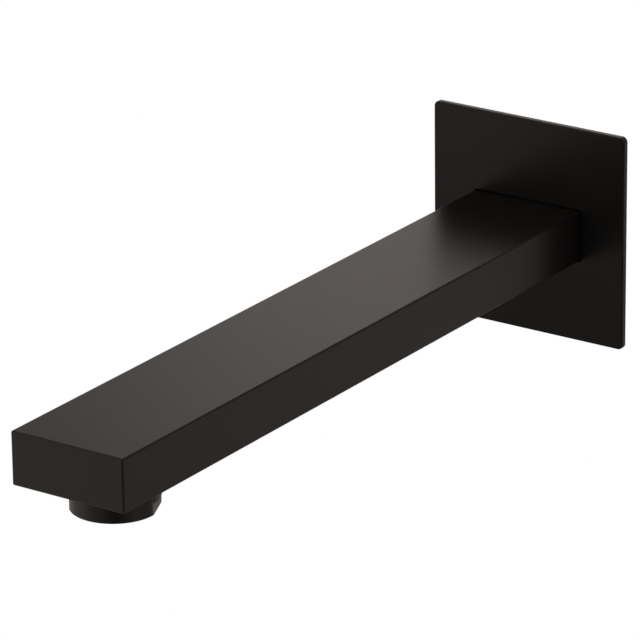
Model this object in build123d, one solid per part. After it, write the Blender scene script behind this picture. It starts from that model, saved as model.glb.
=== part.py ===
from build123d import *
import os
from math import sqrt

# A wall-mounted bath spout. Millimetres, +Z up, +Y into the wall. The origin is the middle of the
# cover plate's gasket where it meets the wall, on the axis of the inlet. The bar runs along -Y.

# Bar: a drawn brass tube of rectangular section, closed in front by a brazed cap
BODY_WIDTH = 40.0
BODY_HEIGHT = 17.0
BODY_REACH = 250.0
TUBE_WALL = 1.5
TUBE_INSIDE_RADIUS = 0.5
EDGE_RADIUS = 0.6
CAP_THICKNESS = 2.0
CAP_TONGUE = 1.5
BAR_TO_WALL = 0.4

# Cover plate, and the gasket between it and the wall
PLATE_SIZE = 72.0
PLATE_THICKNESS = 2.0
PLATE_CORNER_RADIUS = 1.8
PLATE_EDGE_RADIUS = 0.5
PLATE_CLEARANCE = 0.4
GASKET_THICKNESS = 1.0
GASKET_INSET = 3.0

# Nipple that stays in the wall: a thread, a hexagon recessed behind the wall's face, and a spigot
INLET_THREAD_DIAMETER = 20.955
INLET_THREAD_LENGTH = 16.0
INLET_THREAD_CHAMFER = 1.2
INLET_RELIEF_WIDTH = 2.0
INLET_RELIEF_DEPTH = 1.2
INLET_WALL = 3.5
HEXAGON_ACROSS_FLATS = 24.0
HEXAGON_RECESS = 4.0
HEXAGON_LENGTH = 6.0
HEXAGON_CHAMFER = 1.0
HEXAGON_END_WALL = 4.0
SPIGOT_DIAMETER = 12.0
SPIGOT_WALL = 0.85
SPIGOT_END = 3.8
SPIGOT_CLEARANCE = 0.05

# Two O-rings in the spigot's grooves
RING_GROOVE_WIDTH = 2.0
RING_GROOVE_DEPTH = 1.15
RING_SIDE_GAP = 0.15
RING_ROUNDING = 0.4
GROOVE_LAND = 3.0

# Block brazed in the tube's rear end, which slides over the spigot
BLOCK_END_GAP = 2.0
BLOCK_END_WALL = 4.0
BLOCK_PASSAGE_DIAMETER = 10.0
LEAD_IN = 0.8

# Grub screw under the tube, which locks the block on the spigot
GRUB_DIAMETER = 4.0
GRUB_STATION = 8.0
GRUB_RECESS = 0.45
GRUB_TIP_LENGTH = 1.2
GRUB_SOCKET_ACROSS_FLATS = 2.0
GRUB_CHAMFER = 0.4
GRUB_GROOVE_DEPTH = 0.95
GRUB_GROOVE_SIDE = 0.2
THREAD_CLEARANCE = 0.05

# Threaded bush brazed in the tube's underside
BUSH_WALL = 2.2
BUSH_FLANGE_STEP = 1.25
BUSH_SHOULDER = 1.2
BUSH_MOUTH_CHAMFER = 0.3
BUSH_THROAT_RELIEF = 0.2
BUSH_TO_CAP = 3.55

# Aerator's collar, screwed in the bush
COLLAR_DIAMETER = 27.2
COLLAR_DROP = 9.9
COLLAR_ROUNDING = 0.4
COLLAR_THREAD_DIAMETER = 24.0
COLLAR_THREAD_LENGTH = 5.0
COLLAR_THREAD_CHAMFER = 0.4
COLLAR_THREAD_WALL = 1.5
COLLAR_RELIEF_WIDTH = 0.8
COLLAR_RELIEF_DEPTH = 0.7
LIP_THICKNESS = 1.4
LIP_WIDTH = 0.8
FLATS_DEPTH = 1.1
FLATS_HEIGHT = 3.8
FLATS_TURN = 23.0

# Aerator's insert, stacked on the collar's lip, and the seal on top of it
SEAL_THICKNESS = 1.8
SEAL_WIDTH = 2.7
INSERT_CLEARANCE = 0.1
GRILLE_FLANGE_HEIGHT = 2.2
GRILLE_RECESS = 0.2
GRILLE_RIM = 0.4
NOSE_AIR_GAP = 0.7
CELL_ACROSS_FLATS = 1.8
CELL_WALL = 0.35
CAGE_WALL = 1.4
CAGE_STEP = 0.8
AIR_FLUTE_RADIUS = 0.9
AIR_FLUTES = 12
AIR_WINDOWS = 8
AIR_WINDOW_WIDTH = 2.2
AIR_WINDOW_HEIGHT = 1.6
AIR_WINDOW_DEPTH = 0.6
SCREEN_THICKNESS = 0.5
SCREEN_PITCH = 1.3
SCREEN_WIRE = 0.4
SCREEN_RIM = 0.6
SPACER_HEIGHT = 1.2
SPACER_WIDTH = 1.0
FLOW_PLATE_THICKNESS = 1.8
JET_DIAMETER = 1.1
OUTER_JET_RADIUS = 7.0
OUTER_JETS = 18
INNER_JET_RADIUS = 4.4
INNER_JETS = 10
STRAINER_RIM = 0.9
STRAINER_RISE = 2.3
STRAINER_WALL = 0.8
STRAINER_GAP = 0.4
STRAINER_PITCH = 1.7
STRAINER_HOLE = 0.9

# Places on the bar
half_height = BODY_HEIGHT / 2
inside_width = BODY_WIDTH - 2 * TUBE_WALL
inside_height = BODY_HEIGHT - 2 * TUBE_WALL
cap_joint = CAP_THICKNESS - BODY_REACH
bar_end = -BAR_TO_WALL

# Places along the spigot, as distances in front of the wall's face
spigot_radius = SPIGOT_DIAMETER / 2
bore_radius = spigot_radius + SPIGOT_CLEARANCE
ring_root_radius = spigot_radius - RING_GROOVE_DEPTH
grub_root_radius = spigot_radius - GRUB_GROOVE_DEPTH
grub_groove_width = GRUB_DIAMETER + 2 * GRUB_GROOVE_SIDE
ring_step = RING_GROOVE_WIDTH + GROOVE_LAND
rear_ring = GRUB_STATION + (grub_groove_width + RING_GROOVE_WIDTH) / 2 + GROOVE_LAND
front_ring = rear_ring + ring_step
spigot_length = front_ring + RING_GROOVE_WIDTH / 2 + SPIGOT_END
bore_depth = spigot_length + BLOCK_END_GAP
block_length = bore_depth + BLOCK_END_WALL

# Places at the outlet
thread_radius = COLLAR_THREAD_DIAMETER / 2
bush_bore_radius = thread_radius + THREAD_CLEARANCE
bush_neck_radius = thread_radius + BUSH_WALL
bush_flange_radius = bush_neck_radius + BUSH_FLANGE_STEP
outlet_y = cap_joint + CAP_TONGUE + BUSH_TO_CAP + bush_flange_radius
collar_bottom = -half_height - COLLAR_DROP
collar_top = -half_height + COLLAR_THREAD_LENGTH
collar_bore_radius = thread_radius - COLLAR_THREAD_WALL
lip_radius = collar_bore_radius - LIP_WIDTH
lip_top = collar_bottom + LIP_THICKNESS
seal_bore_radius = thread_radius - SEAL_WIDTH
seal_top = collar_top + SEAL_THICKNESS
bush_top = seal_top + BUSH_SHOULDER

# Places in the aerator's insert, from the lip up
insert_radius = collar_bore_radius - INSERT_CLEARANCE
nose_radius = lip_radius - NOSE_AIR_GAP
nose_bottom = collar_bottom + GRILLE_RECESS
grille_top = lip_top + GRILLE_FLANGE_HEIGHT
cage_radius = insert_radius - CAGE_WALL
screen_radius = cage_radius - INSERT_CLEARANCE
screen_step = SCREEN_THICKNESS + SPACER_HEIGHT
screens_height = 3 * SCREEN_THICKNESS + 2 * SPACER_HEIGHT
rim_bottom = collar_top - STRAINER_RIM
flow_plate_bottom = rim_bottom - FLOW_PLATE_THICKNESS


def turned_along_inlet(profile):
    """Turn a closed outline of (radius, y) points about the inlet's axis."""
    return revolve(make_face(Polyline(*profile, close=True)), Axis.Y)


def turned_at_outlet(profile):
    """Turn a closed outline of (radius, z) points about the outlet's upright axis."""
    outline = Plane.XZ * make_face(Polyline(*profile, close=True))
    return Pos(0, outlet_y, 0) * revolve(outline, Axis.Z)


def along_inlet(section, rear, front):
    """A section drawn across the inlet's axis, run from one place on Y to another further forward."""
    return extrude(Plane.XZ.offset(-rear) * section, amount=rear - front)


def outlet_layer(section, bottom, height):
    """A flat section made a layer of the aerator's stack."""
    return Pos(0, outlet_y, bottom) * extrude(section, amount=height)


def hexagon(across_flats):
    """A hexagon sized by the distance across its flats."""
    return RegularPolygon(across_flats / 2, 6, major_radius=False)


def whole_within(spots, radius):
    """Those places of a pattern that lie within a radius of its centre."""
    return [spot for spot in spots if spot.position.length <= radius]


def sieve(radius, pitch, opening):
    """Square openings on a square grid, as many as lie whole inside a circle."""
    rows = int(2 * radius / pitch) + 1
    reach = radius - opening * sqrt(2) / 2
    spots = whole_within(GridLocations(pitch, pitch, rows, rows), reach)
    return [spot * Rectangle(opening, opening) for spot in spots]


def body_form():
    """The bar's outer form, with its long edges and the rim of its front face rounded."""
    block = along_inlet(Rectangle(BODY_WIDTH, BODY_HEIGHT), bar_end, -BODY_REACH)
    rear_edges = block.faces().sort_by(Axis.Y)[-1].edges()
    return fillet([edge for edge in block.edges() if edge not in rear_edges], EDGE_RADIUS)


def inside_form(rear, front):
    """A stretch of the space inside the drawn tube."""
    return along_inlet(RectangleRounded(inside_width, inside_height, TUBE_INSIDE_RADIUS), rear, front)


def grub_hole():
    """The tapped hole that runs up from the underside to the inlet's axis."""
    hole = Cylinder(GRUB_DIAMETER / 2 + THREAD_CLEARANCE, half_height)
    return Pos(0, -GRUB_STATION, -half_height / 2) * hole


def spigot_bore():
    """The bore for the spigot, machined once the block is brazed in, with a lead-in for the rings."""
    return turned_along_inlet([
        (0, bar_end),
        (bore_radius + LEAD_IN, bar_end),
        (bore_radius, bar_end - LEAD_IN),
        (bore_radius, -bore_depth),
        (0, -bore_depth),
    ])


def spout_tube():
    """The drawn tube, drilled underneath for the outlet bush and the grub screw."""
    tube = split(body_form(), Plane.XZ.offset(-cap_joint), keep=Keep.BOTTOM)
    tube -= inside_form(bar_end, -BODY_REACH)
    tube -= Pos(0, outlet_y, -half_height) * Cylinder(bush_neck_radius, 2 * TUBE_WALL)
    return tube - grub_hole() - spigot_bore()


def front_cap():
    """The cap, ground flush with the tube, with a tongue that locates it inside."""
    face = split(body_form(), Plane.XZ.offset(-cap_joint), keep=Keep.TOP)
    return face + inside_form(cap_joint + CAP_TONGUE, cap_joint)


def inlet_block():
    """The block brazed in the tube's rear end, bored for the spigot."""
    passage = along_inlet(Circle(BLOCK_PASSAGE_DIAMETER / 2), -bore_depth, -block_length)
    return inside_form(bar_end, -block_length) - spigot_bore() - passage - grub_hole()


def wall_plate():
    """The cover plate, with soft edges round its front, and an aperture that clears the bar."""
    rear = -GASKET_THICKNESS
    front = rear - PLATE_THICKNESS
    plate = along_inlet(RectangleRounded(PLATE_SIZE, PLATE_SIZE, PLATE_CORNER_RADIUS), rear, front)
    plate = fillet(plate.faces().sort_by(Axis.Y)[0].edges(), PLATE_EDGE_RADIUS)
    aperture = RectangleRounded(
        BODY_WIDTH + 2 * PLATE_CLEARANCE,
        BODY_HEIGHT + 2 * PLATE_CLEARANCE,
        EDGE_RADIUS + PLATE_CLEARANCE,
    )
    return plate - along_inlet(aperture, rear, front)


def plate_gasket():
    """The foam gasket, which grips the bar and lies flat on the wall."""
    size = PLATE_SIZE - 2 * GASKET_INSET
    outline = RectangleRounded(size, size, PLATE_CORNER_RADIUS)
    grip = RectangleRounded(BODY_WIDTH, BODY_HEIGHT, EDGE_RADIUS)
    return along_inlet(outline - grip, 0, -GASKET_THICKNESS)


def spigot_groove(station, width, root_radius):
    """The metal that a square groove takes off the spigot."""
    section = Circle(SPIGOT_DIAMETER) - Circle(root_radius)
    return along_inlet(section, width / 2 - station, -width / 2 - station)


def inlet_nipple():
    """The turned nipple: thread for the wall, hexagon for the spanner, and grooved spigot."""
    corner_radius = HEXAGON_ACROSS_FLATS / sqrt(3)
    flats_radius = HEXAGON_ACROSS_FLATS / 2
    hexagon_rear = HEXAGON_RECESS + HEXAGON_LENGTH
    nipple = along_inlet(hexagon(HEXAGON_ACROSS_FLATS), hexagon_rear, HEXAGON_RECESS)
    nipple &= turned_along_inlet([
        (0, HEXAGON_RECESS),
        (flats_radius, HEXAGON_RECESS),
        (corner_radius, HEXAGON_RECESS + HEXAGON_CHAMFER),
        (corner_radius, hexagon_rear - HEXAGON_CHAMFER),
        (flats_radius, hexagon_rear),
        (0, hexagon_rear),
    ])
    outside_radius = INLET_THREAD_DIAMETER / 2
    relief_radius = outside_radius - INLET_RELIEF_DEPTH
    thread_start = hexagon_rear + INLET_RELIEF_WIDTH
    inlet_end = hexagon_rear + INLET_THREAD_LENGTH
    nipple += turned_along_inlet([
        (0, hexagon_rear),
        (relief_radius, hexagon_rear),
        (relief_radius, thread_start),
        (outside_radius, thread_start),
        (outside_radius, inlet_end - INLET_THREAD_CHAMFER),
        (outside_radius - INLET_THREAD_CHAMFER, inlet_end),
        (0, inlet_end),
    ])
    spigot = along_inlet(Circle(spigot_radius), HEXAGON_RECESS, -spigot_length)
    nipple += chamfer(spigot.faces().sort_by(Axis.Y)[0].edges(), LEAD_IN)
    nipple -= along_inlet(Circle(ring_root_radius - SPIGOT_WALL), inlet_end, -spigot_length)
    bore_end = HEXAGON_RECESS + HEXAGON_END_WALL
    nipple -= along_inlet(Circle(outside_radius - INLET_WALL), inlet_end, bore_end)
    for station in (rear_ring, front_ring):
        nipple -= spigot_groove(station, RING_GROOVE_WIDTH, ring_root_radius)
    return nipple - spigot_groove(GRUB_STATION, grub_groove_width, grub_root_radius)


def spigot_o_ring(station):
    """An O-ring, squeezed between its groove's root and the bore."""
    half_width = RING_GROOVE_WIDTH / 2 - RING_SIDE_GAP
    section = Circle(bore_radius) - Circle(ring_root_radius)
    ring = along_inlet(section, half_width - station, -half_width - station)
    return fillet(ring.edges().filter_by(GeomType.CIRCLE), RING_ROUNDING)


def grub_screw():
    """The grub screw, with its socket facing down and its tip in the spigot's groove."""
    bottom = GRUB_RECESS - half_height
    length = -grub_root_radius - bottom
    screw = extrude(Circle(GRUB_DIAMETER / 2), amount=length)
    screw = chamfer(screw.edges().filter_by(GeomType.CIRCLE), GRUB_CHAMFER)
    screw -= extrude(hexagon(GRUB_SOCKET_ACROSS_FLATS), amount=length - GRUB_TIP_LENGTH)
    return Pos(0, -GRUB_STATION, bottom) * screw


def outlet_bush():
    """The ring brazed in the tube's underside, with the collar's thread and a shoulder above it."""
    throat_radius = seal_bore_radius + BUSH_THROAT_RELIEF
    return turned_at_outlet([
        (bush_bore_radius + BUSH_MOUTH_CHAMFER, -half_height),
        (bush_neck_radius, -half_height),
        (bush_neck_radius, -half_height + TUBE_WALL),
        (bush_flange_radius, -half_height + TUBE_WALL),
        (bush_flange_radius, bush_top),
        (throat_radius, bush_top),
        (throat_radius, seal_top),
        (bush_bore_radius, seal_top),
        (bush_bore_radius, -half_height + BUSH_MOUTH_CHAMFER),
    ])


def collar_flats():
    """The metal that a spanner's two flats take off the collar's lower edge."""
    distance = COLLAR_DIAMETER / 2 - FLATS_DEPTH
    cutter = Box(COLLAR_DIAMETER, 2 * COLLAR_DIAMETER, 2 * FLATS_HEIGHT)
    place = Pos(0, outlet_y, collar_bottom) * Rot(0, 0, FLATS_TURN)
    offset = distance + COLLAR_DIAMETER / 2
    return [place * Pos(side * offset, 0, 0) * cutter for side in (1, -1)]


def aerator_housing():
    """The collar, the thread above it, the lip inside that carries the insert, and two flats."""
    relief_radius = thread_radius - COLLAR_RELIEF_DEPTH
    relief_top = -half_height + COLLAR_RELIEF_WIDTH
    housing = turned_at_outlet([
        (0, collar_bottom),
        (COLLAR_DIAMETER / 2, collar_bottom),
        (COLLAR_DIAMETER / 2, -half_height),
        (relief_radius, -half_height),
        (relief_radius, relief_top),
        (thread_radius, relief_top),
        (thread_radius, collar_top - COLLAR_THREAD_CHAMFER),
        (thread_radius - COLLAR_THREAD_CHAMFER, collar_top),
        (0, collar_top),
    ])
    housing = fillet(housing.faces().sort_by(Axis.Z)[0].edges(), COLLAR_ROUNDING)
    housing -= collar_flats()
    housing -= outlet_layer(Circle(lip_radius), collar_bottom, LIP_THICKNESS)
    return housing - outlet_layer(Circle(collar_bore_radius), lip_top, collar_top - lip_top)


def aerator_seal():
    """The flat washer between the collar's top and the bush's shoulder."""
    return outlet_layer(Circle(thread_radius) - Circle(seal_bore_radius), collar_top, SEAL_THICKNESS)


def aerator_strainer():
    """A moulded cup with a sieve for a top, which keeps grit out of the jets."""
    outside_radius = seal_bore_radius - STRAINER_GAP
    inside_radius = outside_radius - STRAINER_WALL
    sieve_bottom = collar_top + STRAINER_RISE - STRAINER_WALL
    cup = outlet_layer(Circle(insert_radius), rim_bottom, STRAINER_RIM)
    cup += outlet_layer(Circle(outside_radius), collar_top, STRAINER_RISE)
    cup -= outlet_layer(Circle(inside_radius), rim_bottom, sieve_bottom - rim_bottom)
    holes = sieve(inside_radius, STRAINER_PITCH, STRAINER_HOLE)
    return cup - outlet_layer(Sketch() + holes, sieve_bottom, STRAINER_WALL)


def flow_plate():
    """The plate whose two rings of small holes turn the water into jets."""
    jet = Circle(JET_DIAMETER / 2)
    face = Circle(insert_radius) - PolarLocations(OUTER_JET_RADIUS, OUTER_JETS) * jet
    face -= PolarLocations(INNER_JET_RADIUS, INNER_JETS) * jet
    return outlet_layer(face, flow_plate_bottom, FLOW_PLATE_THICKNESS)


def fluted_disc():
    """The insert's round section, with half-round flutes that let air up outside it."""
    return Circle(insert_radius) - PolarLocations(insert_radius, AIR_FLUTES) * Circle(AIR_FLUTE_RADIUS)


def aerator_cage():
    """The sleeve round the screens: a step inside holds them down, and windows let air in."""
    height = flow_plate_bottom - grille_top
    cage = outlet_layer(fluted_disc(), grille_top, height)
    cage -= outlet_layer(Circle(cage_radius), grille_top, screens_height)
    cage -= outlet_layer(Circle(cage_radius - CAGE_STEP), grille_top, height)
    window = Box(2 * insert_radius, AIR_WINDOW_WIDTH, AIR_WINDOW_HEIGHT)
    level = flow_plate_bottom - AIR_WINDOW_DEPTH - AIR_WINDOW_HEIGHT / 2
    for spot in PolarLocations(insert_radius, AIR_WINDOWS):
        cage -= Pos(0, outlet_y, level) * spot * window
    return cage


def screen(bottom):
    """A stainless screen with square meshes inside a plain rim."""
    openings = sieve(screen_radius - SCREEN_RIM, SCREEN_PITCH, SCREEN_PITCH - SCREEN_WIRE)
    return outlet_layer(Circle(screen_radius) - openings, bottom, SCREEN_THICKNESS)


def screen_spacer(bottom):
    """A plain ring that keeps two screens apart."""
    return outlet_layer(Circle(screen_radius) - Circle(screen_radius - SPACER_WIDTH), bottom, SPACER_HEIGHT)


def outlet_grille():
    """The honeycomb at the mouth: a flange on the collar's lip and a nose down through it."""
    height = grille_top - nose_bottom
    grille = outlet_layer(fluted_disc(), lip_top, GRILLE_FLANGE_HEIGHT)
    grille += outlet_layer(Circle(nose_radius), nose_bottom, height)
    pitch = CELL_ACROSS_FLATS + CELL_WALL
    rows = 2 * int(nose_radius / pitch) + 3
    reach = nose_radius - GRILLE_RIM - CELL_ACROSS_FLATS / sqrt(3)
    spots = whole_within(HexLocations(pitch / 2, rows, rows, major_radius=False), reach)
    cells = [spot * hexagon(CELL_ACROSS_FLATS) for spot in spots]
    return grille - outlet_layer(Sketch() + cells, nose_bottom, height)


nodes = {
    "spout_tube": spout_tube(),
    "front_cap": front_cap(),
    "inlet_block": inlet_block(),
    "wall_plate": wall_plate(),
    "plate_gasket": plate_gasket(),
    "inlet_nipple": inlet_nipple(),
    "spigot_o_ring_rear": spigot_o_ring(rear_ring),
    "spigot_o_ring_front": spigot_o_ring(front_ring),
    "grub_screw": grub_screw(),
    "outlet_bush": outlet_bush(),
    "aerator_housing": aerator_housing(),
    "aerator_seal": aerator_seal(),
    "aerator_strainer": aerator_strainer(),
    "flow_plate": flow_plate(),
    "aerator_cage": aerator_cage(),
    "outlet_grille": outlet_grille(),
}
for index, place in enumerate(("lower", "middle", "upper")):
    nodes[f"screen_{place}"] = screen(grille_top + index * screen_step)
for index, place in enumerate(("lower", "upper")):
    nodes[f"screen_spacer_{place}"] = screen_spacer(grille_top + SCREEN_THICKNESS + index * screen_step)

os.makedirs("parts", exist_ok=True)
for name, shape in nodes.items():
    export_step(shape, f"parts/{name}.step")
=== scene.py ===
import math

import bmesh
import bpy
from mathutils import Matrix, Vector


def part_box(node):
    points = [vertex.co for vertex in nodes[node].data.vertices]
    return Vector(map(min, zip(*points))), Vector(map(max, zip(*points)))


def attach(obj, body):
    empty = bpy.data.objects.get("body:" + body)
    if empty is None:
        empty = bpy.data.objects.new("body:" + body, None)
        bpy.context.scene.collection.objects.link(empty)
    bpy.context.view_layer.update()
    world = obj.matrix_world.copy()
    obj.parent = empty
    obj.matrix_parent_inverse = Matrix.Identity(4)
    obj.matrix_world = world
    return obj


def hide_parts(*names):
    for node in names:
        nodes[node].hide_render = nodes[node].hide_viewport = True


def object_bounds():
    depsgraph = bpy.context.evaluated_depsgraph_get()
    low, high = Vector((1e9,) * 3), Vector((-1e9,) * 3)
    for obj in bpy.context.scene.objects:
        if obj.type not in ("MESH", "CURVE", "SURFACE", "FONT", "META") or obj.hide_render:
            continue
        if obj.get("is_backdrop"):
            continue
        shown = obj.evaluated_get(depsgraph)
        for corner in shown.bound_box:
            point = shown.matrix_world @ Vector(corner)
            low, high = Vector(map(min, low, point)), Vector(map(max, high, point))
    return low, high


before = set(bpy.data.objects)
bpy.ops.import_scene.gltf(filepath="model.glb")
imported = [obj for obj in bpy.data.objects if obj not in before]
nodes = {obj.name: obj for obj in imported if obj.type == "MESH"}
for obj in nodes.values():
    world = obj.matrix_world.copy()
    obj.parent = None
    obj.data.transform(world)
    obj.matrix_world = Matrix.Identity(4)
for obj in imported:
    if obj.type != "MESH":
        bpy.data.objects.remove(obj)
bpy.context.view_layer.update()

# Bar: a drawn rectangular brass tube with a cap brazed on in front and ground flush, so that both read
# as one block. It is coated after brazing in a satin black of a slightly warm tone, which lies in a
# fine even grain and follows the soft edges.
COAT_COLOUR = (0.0042, 0.0038, 0.0035, 1.0)
COAT_PALE = (0.0047, 0.0043, 0.0040, 1.0)
COAT_ROUGHNESS = (0.342, 0.358)
COAT_SPECULAR = 0.2
COAT_SPECULAR_TINT = (1.0, 0.95, 0.92, 1.0)
COAT_GRAIN_SIZE = 0.00030
COAT_GRAIN_DEPTH = 0.0000010
PATCH_DENSITY = 120.0
NOISE_LOW = 0.3
NOISE_HIGH = 0.7


def add_node(tree, kind, inputs=(), **settings):
    """Put a node in a tree, with its settings and the values or links of its inputs."""
    node = tree.nodes.new(kind)
    for name, value in settings.items():
        setattr(node, name, value)
    for key, value in dict(inputs).items():
        if isinstance(value, bpy.types.NodeSocket):
            tree.links.new(value, node.inputs[key])
        else:
            node.inputs[key].default_value = value
    return node


def result_of(tree, operation, first, second=0.0):
    """One step of arithmetic in a tree, on numbers or links."""
    return add_node(tree, "ShaderNodeMath", {0: first, 1: second}, operation=operation).outputs[0]


def add_sockets(tree, direction, sockets):
    """Give a node group its named sockets, each of one kind."""
    for name, kind in sockets.items():
        tree.interface.new_socket(name, in_out=direction, socket_type="NodeSocket" + kind)


def fine_grain_group():
    """Grain of a given size: its height, and a mask of broad, faint unevenness."""
    group = bpy.data.node_groups.new("fine_grain", "ShaderNodeTree")
    add_sockets(group, "INPUT", {"Grain Size": "Float"})
    add_sockets(group, "OUTPUT", {"Height": "Float", "Unevenness": "Float"})
    entry = add_node(group, "NodeGroupInput")
    place = add_node(group, "ShaderNodeTexCoord").outputs["Object"]
    grain = add_node(group, "ShaderNodeTexNoise", {
        "Vector": place,
        "Scale": result_of(group, "DIVIDE", 1.0, entry.outputs["Grain Size"]),
        "Detail": 2.0,
        "Roughness": 0.6,
    })
    patches = add_node(group, "ShaderNodeTexNoise", {
        "Vector": place,
        "Scale": PATCH_DENSITY,
        "Detail": 4.0,
    })
    leave = add_node(group, "NodeGroupOutput")
    group.links.new(grain.outputs["Fac"], leave.inputs["Height"])
    group.links.new(patches.outputs["Fac"], leave.inputs["Unevenness"])
    return group


def ranged(tree, mask, low, high):
    """Turn a noise mask into a value that wanders from low to high."""
    spread = add_node(tree, "ShaderNodeMapRange", {
        "Value": mask,
        "From Min": NOISE_LOW,
        "From Max": NOISE_HIGH,
        "To Min": low,
        "To Max": high,
    })
    return spread.outputs["Result"]


def blended(tree, mask, first, second, data_type="RGBA"):
    """Mix two colours, or two numbers, by a mask."""
    values = {"Factor": mask, "A": first, "B": second}
    return add_node(tree, "ShaderNodeMix", values, data_type=data_type).outputs["Result"]


def new_finish(name):
    """A material with its plain shader, whose inputs are then linked and set."""
    material = bpy.data.materials.new(name)
    material.use_nodes = True
    return material, material.node_tree, material.node_tree.nodes["Principled BSDF"]


def relief(tree, shader, height, depth):
    """Let a height in metres raise the surface, as bump."""
    bump = add_node(tree, "ShaderNodeBump", {"Height": height, "Distance": depth, "Strength": 1.0})
    tree.links.new(bump.outputs["Normal"], shader.inputs["Normal"])


def grained(name, colours, roughness, grain_size, grain_depth, settings=()):
    """A coat, rubber, plastic or wire with a fine grain, whose tone and sheen hardly wander."""
    material, tree, shader = new_finish(name)
    grain = add_node(tree, "ShaderNodeGroup", node_tree=fine_grain)
    grain.inputs["Grain Size"].default_value = grain_size
    uneven = grain.outputs["Unevenness"]
    tree.links.new(blended(tree, uneven, *colours), shader.inputs["Base Color"])
    tree.links.new(ranged(tree, uneven, *roughness), shader.inputs["Roughness"])
    for key, value in dict(settings).items():
        shader.inputs[key].default_value = value
    relief(tree, shader, grain.outputs["Height"], grain_depth)
    return material


def finish_node(name, material):
    """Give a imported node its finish."""
    for slot in nodes[name].material_slots:
        slot.material = material


fine_grain = fine_grain_group()
black_coat = grained(
    "satin_black_coat",
    (COAT_COLOUR, COAT_PALE),
    COAT_ROUGHNESS,
    COAT_GRAIN_SIZE,
    COAT_GRAIN_DEPTH,
    {"Specular IOR Level": COAT_SPECULAR, "Specular Tint": COAT_SPECULAR_TINT},
)
finish_node("spout_tube", black_coat)
finish_node("front_cap", black_coat)

# Cover plate: a square of pressed brass with softened edges, which slides back over the bar and
# hides the hole in the wall. It is coated along with the bar.
finish_node("wall_plate", black_coat)

# Gasket: closed-cell foam rubber, cut to grip the bar and squeezed between the plate and the wall.
# Its cut surfaces show the open halves of its cells.
FOAM_COLOUR = (0.022, 0.022, 0.023, 1.0)
FOAM_PALE = (0.045, 0.045, 0.047, 1.0)
FOAM_ROUGHNESS = 0.9
FOAM_CELL_DENSITY = 2600.0
FOAM_CELL_DEPTH = 0.00012


def foam_rubber():
    """Dull dark grey foam with round cells of about 0.4 mm."""
    material, tree, shader = new_finish("closed_cell_foam")
    place = add_node(tree, "ShaderNodeTexCoord").outputs["Object"]
    cells = add_node(tree, "ShaderNodeTexVoronoi", {
        "Vector": place,
        "Scale": FOAM_CELL_DENSITY,
    }, feature="SMOOTH_F1")
    hollow = cells.outputs["Distance"]
    tree.links.new(blended(tree, hollow, FOAM_PALE, FOAM_COLOUR), shader.inputs["Base Color"])
    shader.inputs["Roughness"].default_value = FOAM_ROUGHNESS
    relief(tree, shader, hollow, FOAM_CELL_DEPTH)
    return material


finish_node("plate_gasket", foam_rubber())

# Nipple: one turned piece of brass that stays in the wall. Its G1/2 thread screws in the pipe, its
# hexagon takes the spanner, and its grooved spigot carries the O-rings. The bright metal is left bare.
BRASS_COLOUR = (0.62, 0.43, 0.17, 1.0)
BRASS_BRIGHT = (0.80, 0.60, 0.28, 1.0)
BRASS_ROUGHNESS = (0.2, 0.34)
TOOL_MARK_WIDTH = 0.00012
TOOL_MARK_DEPTH = 0.0000025
TOOL_BAND_SHARE = 0.15
INLET_AXIS = (0.0, 1.0, 0.0)
INLET_PITCH = 0.001814
INLET_CREST_RADIUS = 0.0104775
INLET_THREAD_DEPTH = 0.001162
INLET_CREST_SHARE = 1 / 6
INLET_THREAD_START = 0.011
INLET_TURNS = 9.0
CUTTER_REACH = 1.1
CUTTER_STEPS_PER_TURN = 72
SHARP_ANGLE = math.radians(30)
WELD_DISTANCE = 0.000001


def tool_marks_group():
    """Fine rings that a lathe leaves about an axis, on round and on flat faces."""
    group = bpy.data.node_groups.new("tool_marks", "ShaderNodeTree")
    add_sockets(group, "INPUT", {"Centre": "Vector", "Axis": "Vector", "Mark Width": "Float"})
    add_sockets(group, "OUTPUT", {"Height": "Float", "Shade": "Float"})
    entry = add_node(group, "NodeGroupInput")
    place = add_node(group, "ShaderNodeTexCoord").outputs["Object"]
    arm = add_node(group, "ShaderNodeVectorMath", {
        0: place,
        1: entry.outputs["Centre"],
    }, operation="SUBTRACT").outputs["Vector"]
    along = add_node(group, "ShaderNodeVectorMath", {
        0: arm,
        1: entry.outputs["Axis"],
    }, operation="DOT_PRODUCT").outputs["Value"]
    foot = add_node(group, "ShaderNodeVectorMath", {
        0: entry.outputs["Axis"],
        "Scale": along,
    }, operation="SCALE").outputs["Vector"]
    across = add_node(group, "ShaderNodeVectorMath", {
        0: arm,
        1: foot,
    }, operation="DISTANCE").outputs["Value"]
    pair = add_node(group, "ShaderNodeCombineXYZ", {"X": along, "Y": across})
    density = result_of(group, "DIVIDE", 1.0, entry.outputs["Mark Width"])
    rings = add_node(group, "ShaderNodeTexNoise", {
        "Vector": pair.outputs[0],
        "Scale": density,
        "Detail": 2.0,
    }, noise_dimensions="2D")
    bands = add_node(group, "ShaderNodeTexNoise", {
        "Vector": pair.outputs[0],
        "Scale": result_of(group, "MULTIPLY", density, TOOL_BAND_SHARE),
        "Detail": 3.0,
    }, noise_dimensions="2D")
    leave = add_node(group, "NodeGroupOutput")
    group.links.new(rings.outputs["Fac"], leave.inputs["Height"])
    group.links.new(bands.outputs["Fac"], leave.inputs["Shade"])
    return group


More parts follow.
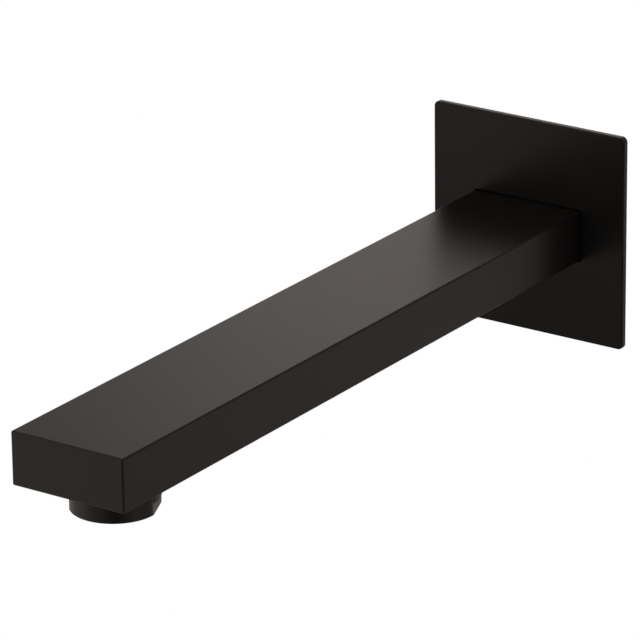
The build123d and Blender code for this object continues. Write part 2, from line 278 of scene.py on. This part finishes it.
def turned_metal(name, colours, roughness, centre, axis):
    """Bare metal turned about an axis: rings in relief, and bands of a slightly different tone."""
    material, tree, shader = new_finish(name)
    marks = add_node(tree, "ShaderNodeGroup", node_tree=tool_marks)
    marks.inputs["Centre"].default_value = centre
    marks.inputs["Axis"].default_value = axis
    marks.inputs["Mark Width"].default_value = TOOL_MARK_WIDTH
    tree.links.new(blended(tree, marks.outputs["Shade"], *colours), shader.inputs["Base Color"])
    tree.links.new(ranged(tree, marks.outputs["Shade"], *roughness), shader.inputs["Roughness"])
    shader.inputs["Metallic"].default_value = 1.0
    relief(tree, shader, marks.outputs["Height"], TOOL_MARK_DEPTH)
    return material


def thread_tree():
    """Geometry nodes that cut a right-hand thread in a turned blank, and shade its edges crisp."""
    tree = bpy.data.node_groups.new("cut_thread", "GeometryNodeTree")
    add_sockets(tree, "INPUT", {
        "Blank": "Geometry",
        "Crest Radius": "Float",
        "Depth": "Float",
        "Pitch": "Float",
        "Crest Share": "Float",
        "Turns": "Float",
        "Start": "Vector",
        "Tilt": "Vector",
        "Sharp Angle": "Float",
        "Finish": "Material",
    })
    add_sockets(tree, "OUTPUT", {"Threaded": "Geometry"})
    entry = add_node(tree, "NodeGroupInput").outputs

    # The cutter stands out past the crest, and widens there at the same slope.
    reach = result_of(tree, "MULTIPLY", entry["Depth"], CUTTER_REACH)
    root = result_of(tree, "MULTIPLY", entry["Pitch"], entry["Crest Share"])
    crest = result_of(tree, "SUBTRACT", entry["Pitch"], root)
    flare = result_of(tree, "MULTIPLY", result_of(tree, "SUBTRACT", crest, root), CUTTER_REACH)
    root_radius = result_of(tree, "SUBTRACT", entry["Crest Radius"], entry["Depth"])
    middle = result_of(tree, "ADD", root_radius, result_of(tree, "MULTIPLY", reach, 0.5))
    helix = add_node(tree, "GeometryNodeCurveSpiral", {
        "Resolution": CUTTER_STEPS_PER_TURN,
        "Rotations": entry["Turns"],
        "Start Radius": middle,
        "End Radius": middle,
        "Height": result_of(tree, "MULTIPLY", entry["Pitch"], entry["Turns"]),
    })
    upright = add_node(tree, "GeometryNodeSetCurveNormal", {"Curve": helix.outputs[0]}, mode="Z_UP")
    groove = add_node(tree, "GeometryNodeCurvePrimitiveQuadrilateral", {
        "Height": reach,
        "Bottom Width": root,
        "Top Width": result_of(tree, "ADD", root, flare),
        "Offset": 0.0,
    }, mode="TRAPEZOID")
    outward = add_node(tree, "GeometryNodeTransform", {
        "Geometry": groove.outputs[0],
        "Rotation": (0.0, 0.0, math.radians(90)),
    })
    cutter = add_node(tree, "GeometryNodeCurveToMesh", {
        "Curve": upright.outputs[0],
        "Profile Curve": outward.outputs[0],
        "Fill Caps": True,
    })
    placed = add_node(tree, "GeometryNodeTransform", {
        "Geometry": cutter.outputs[0],
        "Translation": entry["Start"],
        "Rotation": entry["Tilt"],
    })
    cut = add_node(tree, "GeometryNodeMeshBoolean", {
        "Mesh 1": entry["Blank"],
        "Mesh 2": placed.outputs[0],
    }, operation="DIFFERENCE", solver="EXACT")
    angle = add_node(tree, "GeometryNodeInputMeshEdgeAngle")
    crisp = add_node(tree, "FunctionNodeCompare", {
        "A": angle.outputs["Unsigned Angle"],
        "B": entry["Sharp Angle"],
    }, operation="GREATER_THAN")
    smooth = add_node(tree, "GeometryNodeSetShadeSmooth", {
        "Geometry": cut.outputs[0],
        "Shade Smooth": True,
    })
    edged = add_node(tree, "GeometryNodeSetShadeSmooth", {
        "Geometry": smooth.outputs[0],
        "Selection": crisp.outputs[0],
        "Shade Smooth": False,
    }, domain="EDGE")
    whole = add_node(tree, "GeometryNodeRealizeInstances", {"Geometry": edged.outputs[0]})
    finished = add_node(tree, "GeometryNodeSetMaterial", {
        "Geometry": whole.outputs[0],
        "Material": entry["Finish"],
    })
    leave = add_node(tree, "NodeGroupOutput")
    tree.links.new(finished.outputs[0], leave.inputs[0])
    return tree


def closed_skin(name):
    """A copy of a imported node's mesh with its loose triangles joined to one closed skin."""
    form = bmesh.new()
    form.from_mesh(nodes[name].data)
    bmesh.ops.remove_doubles(form, verts=form.verts, dist=WELD_DISTANCE)
    form.verts.index_update()
    points = [corner.co.copy() for corner in form.verts]
    faces = [[corner.index for corner in face.verts] for face in form.faces]
    form.free()
    mesh = bpy.data.meshes.new(name + "_blank")
    mesh.from_pydata(points, [], faces)
    return mesh


def grown(name, blank, tree, sizes):
    """A new piece: a tree of geometry nodes run once on a blank, and kept as a plain mesh."""
    piece = bpy.data.objects.new(name, blank)
    bpy.context.scene.collection.objects.link(piece)
    maker = piece.modifiers.new("maker", "NODES")
    maker.node_group = tree
    for socket in tree.interface.items_tree:
        if socket.in_out == "INPUT" and socket.name in sizes:
            maker[socket.identifier] = sizes[socket.name]
    shading = piece.modifiers.new("shading", "WEIGHTED_NORMAL")
    shading.keep_sharp = True
    graph = bpy.context.evaluated_depsgraph_get()
    mesh = bpy.data.meshes.new_from_object(piece.evaluated_get(graph), depsgraph=graph)
    piece.modifiers.clear()
    piece.data = mesh
    return piece


def stand_for(piece, node):
    """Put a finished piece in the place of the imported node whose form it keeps."""
    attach(piece, "root")
    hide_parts(node)


tool_marks = tool_marks_group()
cut_thread = thread_tree()
turned_brass = turned_metal(
    "turned_brass", (BRASS_COLOUR, BRASS_BRIGHT), BRASS_ROUGHNESS, (0.0, 0.0, 0.0), INLET_AXIS
)
nipple = grown("inlet_nipple_threaded", closed_skin("inlet_nipple"), cut_thread, {
    "Crest Radius": INLET_CREST_RADIUS,
    "Depth": INLET_THREAD_DEPTH,
    "Pitch": INLET_PITCH,
    "Crest Share": INLET_CREST_SHARE,
    "Turns": INLET_TURNS,
    "Start": (0.0, INLET_THREAD_START, 0.0),
    "Tilt": (math.radians(-90), 0.0, 0.0),
    "Sharp Angle": SHARP_ANGLE,
    "Finish": turned_brass,
})
stand_for(nipple, "inlet_nipple")

# Block: brass brazed in the tube's rear end, bored out for the spigot and tapped from below. Its
# bore is turned about the inlet's axis like the nipple.
finish_node("inlet_block", turned_brass)

# O-rings: two rings of moulded black rubber, dull, with a very fine grain. They are stretched over
# the spigot into its grooves, and seal it in the block's bore.
RUBBER_COLOUR = (0.011, 0.011, 0.012, 1.0)
RUBBER_PALE = (0.019, 0.019, 0.020, 1.0)
RUBBER_ROUGHNESS = (0.45, 0.6)
RUBBER_GRAIN_SIZE = 0.00012
RUBBER_GRAIN_DEPTH = 0.000004

seal_rubber = grained(
    "seal_rubber", (RUBBER_COLOUR, RUBBER_PALE), RUBBER_ROUGHNESS, RUBBER_GRAIN_SIZE, RUBBER_GRAIN_DEPTH
)
finish_node("spigot_o_ring_rear", seal_rubber)
finish_node("spigot_o_ring_front", seal_rubber)

# Grub screw: stainless steel, M4 with a hexagon socket, which locks the spout on the spigot from
# below. Its thread runs over its whole length.
STEEL_COLOUR = (0.50, 0.49, 0.47, 1.0)
STEEL_BRIGHT = (0.66, 0.65, 0.63, 1.0)
STEEL_ROUGHNESS = (0.22, 0.36)
OUTLET_AXIS = (0.0, 0.0, 1.0)
METRIC_CREST_SHARE = 1 / 8
METRIC_DEPTH_SHARE = 0.6134
GRUB_PITCH = 0.0007
GRUB_TURNS = 6.0

grub_low, grub_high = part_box("grub_screw")
grub_middle = (grub_low + grub_high) / 2
grub_overrun = (GRUB_TURNS * GRUB_PITCH - (grub_high.z - grub_low.z)) / 2
turned_steel = turned_metal(
    "turned_steel", (STEEL_COLOUR, STEEL_BRIGHT), STEEL_ROUGHNESS, grub_middle, OUTLET_AXIS
)
grub = grown("grub_screw_threaded", closed_skin("grub_screw"), cut_thread, {
    "Crest Radius": (grub_high.x - grub_low.x) / 2,
    "Depth": METRIC_DEPTH_SHARE * GRUB_PITCH,
    "Pitch": GRUB_PITCH,
    "Crest Share": METRIC_CREST_SHARE,
    "Turns": GRUB_TURNS,
    "Start": (0.0, grub_middle.y, grub_low.z - grub_overrun),
    "Tilt": (0.0, 0.0, 0.0),
    "Sharp Angle": SHARP_ANGLE,
    "Finish": turned_steel,
})
stand_for(grub, "grub_screw")

# Bush: a turned brass ring, tapped for the aerator and brazed in the tube's underside. It is coated
# along with the bar.
finish_node("outlet_bush", black_coat)

# Aerator's collar: turned brass, coated like the bar, with two spanner flats milled in its lower
# edge. Its M24 x 1 thread stands above the collar, inside the spout.
COLLAR_PITCH = 0.001
COLLAR_CREST_RADIUS = 0.012
COLLAR_THREAD_START = 0.0005
COLLAR_TURNS = 6.0

bar_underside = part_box("spout_tube")[0].z
collar_low, collar_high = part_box("aerator_housing")
outlet_y = (collar_low.y + collar_high.y) / 2
collar = grown("aerator_housing_threaded", closed_skin("aerator_housing"), cut_thread, {
    "Crest Radius": COLLAR_CREST_RADIUS,
    "Depth": METRIC_DEPTH_SHARE * COLLAR_PITCH,
    "Pitch": COLLAR_PITCH,
    "Crest Share": METRIC_CREST_SHARE,
    "Turns": COLLAR_TURNS,
    "Start": (0.0, outlet_y, bar_underside + COLLAR_THREAD_START),
    "Tilt": (0.0, 0.0, 0.0),
    "Sharp Angle": SHARP_ANGLE,
    "Finish": black_coat,
})
stand_for(collar, "aerator_housing")
finish_node("aerator_seal", seal_rubber)

# Aerator's insert: moulded parts of grey acetal stacked in the collar. A domed sieve lies on a
# plate of jets, under it a cage and two rings hold the screens, and a honeycomb closes the mouth.
ACETAL_COLOUR = (0.26, 0.27, 0.28, 1.0)
ACETAL_PALE = (0.31, 0.32, 0.33, 1.0)
ACETAL_ROUGHNESS = (0.36, 0.44)
ACETAL_GRAIN_SIZE = 0.00018
ACETAL_GRAIN_DEPTH = 0.000003

grey_acetal = grained(
    "grey_acetal", (ACETAL_COLOUR, ACETAL_PALE), ACETAL_ROUGHNESS, ACETAL_GRAIN_SIZE, ACETAL_GRAIN_DEPTH
)
for name in (
    "aerator_strainer",
    "flow_plate",
    "aerator_cage",
    "screen_spacer_upper",
    "screen_spacer_lower",
    "outlet_grille",
):
    finish_node(name, grey_acetal)

# Screens: three discs of plain-woven stainless wire, each crimped in a flat rim. Every wire passes
# over and under its neighbours, and its ends are caught in the rim.
WEAVE_PITCH = 0.0008
WIRE_SIDES = 6
WIRE_STEPS_PER_MESH = 4
RIM_WIDTH = 0.0006
RIM_GRIP = 0.0002
RIM_SIDES = 96
WIRE_ROUGHNESS = (0.3, 0.42)
WIRE_GRAIN_SIZE = 0.00008
WIRE_GRAIN_DEPTH = 0.000002


def screen_tree():
    """Geometry nodes that weave a round screen flat about the origin and crimp its rim."""
    tree = bpy.data.node_groups.new("weave_screen", "GeometryNodeTree")
    add_sockets(tree, "INPUT", {
        "Blank": "Geometry",
        "Radius": "Float",
        "Thickness": "Float",
        "Pitch": "Float",
        "Wires": "Int",
        "Sides": "Int",
        "Rim Width": "Float",
        "Rim Grip": "Float",
        "Place": "Vector",
        "Finish": "Material",
    })
    add_sockets(tree, "OUTPUT", {"Screen": "Geometry"})
    entry = add_node(tree, "NodeGroupInput").outputs

    # Wires to each side of the middle one, and the reach of a wire before it is cut to the circle
    half = result_of(tree, "MULTIPLY", entry["Pitch"], entry["Wires"])
    back = result_of(tree, "MULTIPLY", half, -1.0)
    count = result_of(tree, "ADD", result_of(tree, "MULTIPLY", entry["Wires"], 2.0), 1.0)
    start = add_node(tree, "ShaderNodeCombineXYZ", {"X": back}).outputs[0]
    end = add_node(tree, "ShaderNodeCombineXYZ", {"X": half}).outputs[0]
    first_spot = add_node(tree, "ShaderNodeCombineXYZ", {"Y": back}).outputs[0]
    step = add_node(tree, "ShaderNodeCombineXYZ", {"Y": entry["Pitch"]}).outputs[0]
    line = add_node(tree, "GeometryNodeCurvePrimitiveLine", {"Start": start, "End": end})
    steps = result_of(tree, "MULTIPLY", entry["Wires"], 2 * WIRE_STEPS_PER_MESH)
    wire = add_node(tree, "GeometryNodeResampleCurve", {
        "Curve": line.outputs[0],
        "Count": result_of(tree, "ADD", steps, 1.0),
    })
    spots = add_node(tree, "GeometryNodeMeshLine", {
        "Count": count,
        "Start Location": first_spot,
        "Offset": step,
    })
    row = add_node(tree, "GeometryNodeInstanceOnPoints", {
        "Points": spots.outputs[0],
        "Instance": wire.outputs[0],
    })
    wires = add_node(tree, "GeometryNodeRealizeInstances", {"Geometry": row.outputs[0]})

    # Each wire rises and falls by its own radius, out of step with the wires beside it, so that the
    # cloth is four wire radii thick.
    place = add_node(tree, "GeometryNodeInputPosition").outputs[0]
    axes = add_node(tree, "ShaderNodeSeparateXYZ", {"Vector": place}).outputs
    phase = result_of(tree, "DIVIDE", math.pi, entry["Pitch"])
    along, across = (
        result_of(tree, "COSINE", result_of(tree, "MULTIPLY", axes[name], phase)) for name in "XY"
    )
    wave = result_of(tree, "MULTIPLY", along, across)
    wire_radius = result_of(tree, "DIVIDE", entry["Thickness"], 4.0)
    lift = add_node(tree, "ShaderNodeCombineXYZ", {"Z": result_of(tree, "MULTIPLY", wave, wire_radius)})
    woven = add_node(tree, "GeometryNodeSetPosition", {
        "Geometry": wires.outputs[0],
        "Offset": lift.outputs[0],
    })
    distance = add_node(tree, "ShaderNodeVectorMath", {0: place}, operation="LENGTH").outputs["Value"]
    inner = result_of(tree, "SUBTRACT", entry["Radius"], entry["Rim Width"])
    limit = result_of(tree, "ADD", inner, entry["Rim Grip"])
    outside = add_node(tree, "FunctionNodeCompare", {"A": distance, "B": limit}, operation="GREATER_THAN")
    trimmed = add_node(tree, "GeometryNodeDeleteGeometry", {
        "Geometry": woven.outputs[0],
        "Selection": outside.outputs[0],
    })
    other_way = add_node(tree, "GeometryNodeTransform", {
        "Geometry": trimmed.outputs[0],
        "Rotation": (0.0, 0.0, math.radians(90)),
        "Scale": (1.0, 1.0, -1.0),
    })
    both_ways = add_node(tree, "GeometryNodeJoinGeometry")
    tree.links.new(trimmed.outputs[0], both_ways.inputs[0])
    tree.links.new(other_way.outputs[0], both_ways.inputs[0])
    round_section = add_node(tree, "GeometryNodeCurvePrimitiveCircle", {
        "Resolution": entry["Sides"],
        "Radius": wire_radius,
    })
    cloth = add_node(tree, "GeometryNodeCurveToMesh", {
        "Curve": both_ways.outputs[0],
        "Profile Curve": round_section.outputs[0],
        "Fill Caps": True,
    })
    cloth = add_node(tree, "GeometryNodeSetShadeSmooth", {
        "Geometry": cloth.outputs[0],
        "Shade Smooth": True,
    })

    # The rim is a ring of rectangular section.
    half_rim = result_of(tree, "MULTIPLY", entry["Rim Width"], 0.5)
    circle = add_node(tree, "GeometryNodeCurvePrimitiveCircle", {
        "Resolution": RIM_SIDES,
        "Radius": result_of(tree, "SUBTRACT", entry["Radius"], half_rim),
    })
    section = add_node(tree, "GeometryNodeCurvePrimitiveQuadrilateral", {
        "Width": entry["Rim Width"],
        "Height": entry["Thickness"],
    })
    upright = add_node(tree, "GeometryNodeSetCurveNormal", {"Curve": circle.outputs[0]}, mode="Z_UP")
    rim = add_node(tree, "GeometryNodeCurveToMesh", {
        "Curve": upright.outputs[0],
        "Profile Curve": section.outputs[0],
    })
    together = add_node(tree, "GeometryNodeJoinGeometry")
    tree.links.new(cloth.outputs[0], together.inputs[0])
    tree.links.new(rim.outputs[0], together.inputs[0])
    placed = add_node(tree, "GeometryNodeTransform", {
        "Geometry": together.outputs[0],
        "Translation": entry["Place"],
    })
    whole = add_node(tree, "GeometryNodeRealizeInstances", {"Geometry": placed.outputs[0]})
    finished = add_node(tree, "GeometryNodeSetMaterial", {
        "Geometry": whole.outputs[0],
        "Material": entry["Finish"],
    })
    leave = add_node(tree, "NodeGroupOutput")
    tree.links.new(finished.outputs[0], leave.inputs[0])
    return tree


weave_screen = screen_tree()
drawn_steel = grained(
    "drawn_steel",
    (STEEL_COLOUR, STEEL_BRIGHT),
    WIRE_ROUGHNESS,
    WIRE_GRAIN_SIZE,
    WIRE_GRAIN_DEPTH,
    {"Metallic": 1.0},
)
for name in ("screen_upper", "screen_middle", "screen_lower"):
    low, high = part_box(name)
    radius = (high.x - low.x) / 2
    screen = grown(name + "_woven", bpy.data.meshes.new(name + "_blank"), weave_screen, {
        "Radius": radius,
        "Thickness": high.z - low.z,
        "Pitch": WEAVE_PITCH,
        "Wires": int((radius - RIM_WIDTH) / WEAVE_PITCH),
        "Sides": WIRE_SIDES,
        "Rim Width": RIM_WIDTH,
        "Rim Grip": RIM_GRIP,
        "Place": (low + high) / 2,
        "Finish": drawn_steel,
    })
    stand_for(screen, name)

# Camera, as in the photograph: a long lens, in front of the spout, to its right and above it.
# The aim is a point of the bar, moved a little across the picture to frame the spout.
CAMERA_AZIMUTH = math.radians(34.578)
CAMERA_ELEVATION = math.radians(20.896)
CAMERA_ROLL = math.radians(-0.675)
CAMERA_DISTANCE = 1.52441
CAMERA_AIM = Vector((0.0, -0.125, 0.0))
CAMERA_SHIFT_RIGHT = 0.001704
CAMERA_SHIFT_UP = 0.005971
CAMERA_FOCAL_LENGTH = 281.65
SENSOR_WIDTH = 36.0


def towards(azimuth, elevation):
    """The direction from the spout to a place in the studio, given by two angles in radians."""
    return Vector((
        math.sin(azimuth) * math.cos(elevation),
        -math.cos(azimuth) * math.cos(elevation),
        math.sin(elevation),
    ))


back = towards(CAMERA_AZIMUTH, CAMERA_ELEVATION)
level_right = Vector((0, 0, 1)).cross(back).normalized()
level_up = back.cross(level_right)
camera_right = math.cos(CAMERA_ROLL) * level_right + math.sin(CAMERA_ROLL) * level_up
camera_up = math.cos(CAMERA_ROLL) * level_up - math.sin(CAMERA_ROLL) * level_right
camera = bpy.data.objects.new("camera", bpy.data.cameras.new("camera"))
camera.data.sensor_width = SENSOR_WIDTH
camera.data.lens = CAMERA_FOCAL_LENGTH
camera.location = (
    CAMERA_AIM + CAMERA_SHIFT_RIGHT * camera_right + CAMERA_SHIFT_UP * camera_up + CAMERA_DISTANCE * back
)
camera.rotation_mode = "QUATERNION"
camera.rotation_quaternion = Matrix((camera_right, camera_up, back)).transposed().to_quaternion()
bpy.context.scene.collection.objects.link(camera)
bpy.context.scene.camera = camera
bpy.context.scene.view_settings.view_transform = "Standard"

# Floor: a pale round table top well below the spout. Seen from above it is nearly white and takes
# the spout's shadow. It is dim in what shines, and lets a camera below it see the underside.
FLOOR_LEVEL = -0.45
FLOOR_RADIUS = 0.7
FLOOR_SIDES = 128
FLOOR_COLOUR = (0.8, 0.8, 0.8, 1.0)
FLOOR_GLOW_SHARE = 0.7
FLOOR_GLOW_STRENGTH = 1.12
FLOOR_GLOW_MIRRORED = 0.08


def rays_of(tree, *kinds):
    """A mask of the rays of some kinds, such as those that come from the camera."""
    path = add_node(tree, "ShaderNodeLightPath").outputs
    mask = path[f"Is {kinds[0]} Ray"]
    for kind in kinds[1:]:
        mask = result_of(tree, "MAXIMUM", mask, path[f"Is {kind} Ray"])
    return mask


def floor_finish():
    """Pale matt paper with some light of its own for the eye alone, and nothing on its underside."""
    material = bpy.data.materials.new("pale_floor")
    material.use_nodes = True
    tree = material.node_tree
    tree.nodes.clear()
    paper = add_node(tree, "ShaderNodeBsdfDiffuse", {"Color": FLOOR_COLOUR})
    mirrored = rays_of(tree, "Glossy")
    level = blended(tree, mirrored, FLOOR_GLOW_STRENGTH, FLOOR_GLOW_MIRRORED, "FLOAT")
    glow = add_node(tree, "ShaderNodeEmission", {"Color": (1, 1, 1, 1), "Strength": level})
    seen = rays_of(tree, "Camera", "Glossy", "Transmission")
    share = result_of(tree, "MULTIPLY", seen, FLOOR_GLOW_SHARE)
    top = add_node(tree, "ShaderNodeMixShader", {0: share, 1: paper.outputs[0], 2: glow.outputs[0]})
    clear = add_node(tree, "ShaderNodeBsdfTransparent")
    behind = add_node(tree, "ShaderNodeNewGeometry").outputs["Backfacing"]
    sided = add_node(tree, "ShaderNodeMixShader", {0: behind, 1: top.outputs[0], 2: clear.outputs[0]})
    leave = add_node(tree, "ShaderNodeOutputMaterial")
    tree.links.new(sided.outputs[0], leave.inputs["Surface"])
    return material


disc = bmesh.new()
centre = Matrix.Translation((CAMERA_AIM.x, CAMERA_AIM.y, FLOOR_LEVEL))
bmesh.ops.create_circle(disc, cap_ends=True, segments=FLOOR_SIDES, radius=FLOOR_RADIUS, matrix=centre)
floor = bpy.data.objects.new("floor", bpy.data.meshes.new("floor"))
disc.to_mesh(floor.data)
disc.free()
floor.data.materials.append(floor_finish())
bpy.context.scene.collection.objects.link(floor)
floor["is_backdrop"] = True

# Lamps: a large soft box in front on the left, and a low one behind on the left, whose edge makes
# the top of the bar brighten towards the wall. A third, close in front and low on the left, shows in
# the front face, the collar's flank and, past its lower edge, the upper half of the plate.
LAMP_COLOUR = (1.0, 0.91, 0.85)
KEY_LAMP_DIRECTION = (math.radians(-48), math.radians(50))
KEY_LAMP_DISTANCE = 1.3
KEY_LAMP_SIZE = 0.9
KEY_LAMP_RADIANCE = 0.9
REAR_LAMP_DIRECTION = (math.radians(-145.4), math.radians(20.9))
REAR_LAMP_DISTANCE = 0.8
REAR_LAMP_WIDTH = 0.6
REAR_LAMP_HEIGHT = 0.5
REAR_LAMP_EDGE = -0.15
REAR_LAMP_RADIANCE = 0.75
FRONT_LAMP_DIRECTION = (math.radians(-34.6), math.radians(-20.9))
FRONT_LAMP_DISTANCE = 0.24
FRONT_LAMP_WIDTH = 0.3
FRONT_LAMP_HEIGHT = 0.15
FRONT_LAMP_RIGHT = 0.05
FRONT_LAMP_RISE = 0.085
FRONT_LAMP_RADIANCE = 0.52


def soft_lamp(name, centre, side, back, width, height, radiance):
    """An even rectangular lamp that faces against its back axis, sized by its radiance."""
    lamp = bpy.data.lights.new(name, "AREA")
    lamp.shape = "RECTANGLE"
    lamp.size = width
    lamp.size_y = height
    lamp.energy = math.pi * width * height * radiance
    lamp.color = LAMP_COLOUR
    holder = bpy.data.objects.new(name, lamp)
    turn = Matrix((side, back.cross(side), back)).transposed().to_4x4()
    holder.matrix_world = Matrix.Translation(centre) @ turn
    holder.visible_camera = False
    bpy.context.scene.collection.objects.link(holder)


key_back = towards(*KEY_LAMP_DIRECTION)
key_side = Vector((0, 0, 1)).cross(key_back).normalized()
key_centre = CAMERA_AIM + KEY_LAMP_DISTANCE * key_back
soft_lamp("key_lamp", key_centre, key_side, key_back, KEY_LAMP_SIZE, KEY_LAMP_SIZE, KEY_LAMP_RADIANCE)
rear_back = towards(*REAR_LAMP_DIRECTION)
rear_side = (Vector((0, 1, 0)) - Vector((0, 1, 0)).dot(rear_back) * rear_back).normalized()
rear_centre = REAR_LAMP_DISTANCE * rear_back + (REAR_LAMP_EDGE + REAR_LAMP_WIDTH / 2) * rear_side
soft_lamp(
    "rear_lamp", rear_centre, -rear_side, rear_back, REAR_LAMP_WIDTH, REAR_LAMP_HEIGHT, REAR_LAMP_RADIANCE
)
front_back = towards(*FRONT_LAMP_DIRECTION)
front_side = Vector((0, 0, 1)).cross(front_back).normalized()
front_up = front_back.cross(front_side)
front_centre = (
    FRONT_LAMP_DISTANCE * front_back + FRONT_LAMP_RIGHT * front_side + FRONT_LAMP_RISE * front_up
)
soft_lamp(
    "front_lamp",
    front_centre,
    front_side,
    front_back,
    FRONT_LAMP_WIDTH,
    FRONT_LAMP_HEIGHT,
    FRONT_LAMP_RADIANCE,
)

# Surround: white to the eye, and an even fill for matt surfaces. What shines sees the studio as
# soft glows, each given by its azimuth, elevation and strength, with darker room between them.
FILL_STRENGTH = 0.7
GLOW_BASE = 0.05
GLOW_SHARPNESS = 12.0
GLOWS = (
    (-50, -21, 0.62),
    (90, -21, 1.10),
    (145, -21, 0.56),
    (190, -21, 0.45),
    (-145, 21, 0.39),
    (-132, -20, 0.7),
    (-60, 25, 1.0),
    (15, 30, 0.8),
    (65, 27, 0.8),
    (120, 30, 0.8),
    (180, 50, 0.6),
    (0, 89, 0.9),
)

world = bpy.data.worlds.new("studio")
world.use_nodes = True
world.cycles.sampling_method = "NONE"
bpy.context.scene.world = world
room = world.node_tree
room.nodes.clear()
gaze = add_node(room, "ShaderNodeTexCoord").outputs["Generated"]
glow_sum = GLOW_BASE
for azimuth, elevation, strength in GLOWS:
    aim = towards(math.radians(azimuth), math.radians(elevation))
    nearness = add_node(room, "ShaderNodeVectorMath", {0: gaze, 1: aim}, operation="DOT_PRODUCT")
    fall = add_node(room, "ShaderNodeMath", {
        0: nearness.outputs["Value"],
        1: GLOW_SHARPNESS,
        2: math.log(strength) - GLOW_SHARPNESS,
    }, operation="MULTIPLY_ADD")
    glow_sum = result_of(room, "ADD", glow_sum, result_of(room, "EXPONENT", fall.outputs[0]))
glossy = rays_of(room, "Glossy")
shine = blended(room, glossy, FILL_STRENGTH, glow_sum, "FLOAT")
surround = add_node(room, "ShaderNodeBackground", {
    "Color": blended(room, glossy, (1, 1, 1, 1), (*LAMP_COLOUR, 1)),
    "Strength": blended(room, rays_of(room, "Camera", "Transmission"), shine, 1.0, "FLOAT"),
})
leave = add_node(room, "ShaderNodeOutputWorld")
room.links.new(surround.outputs[0], leave.inputs["Surface"])

low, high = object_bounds()
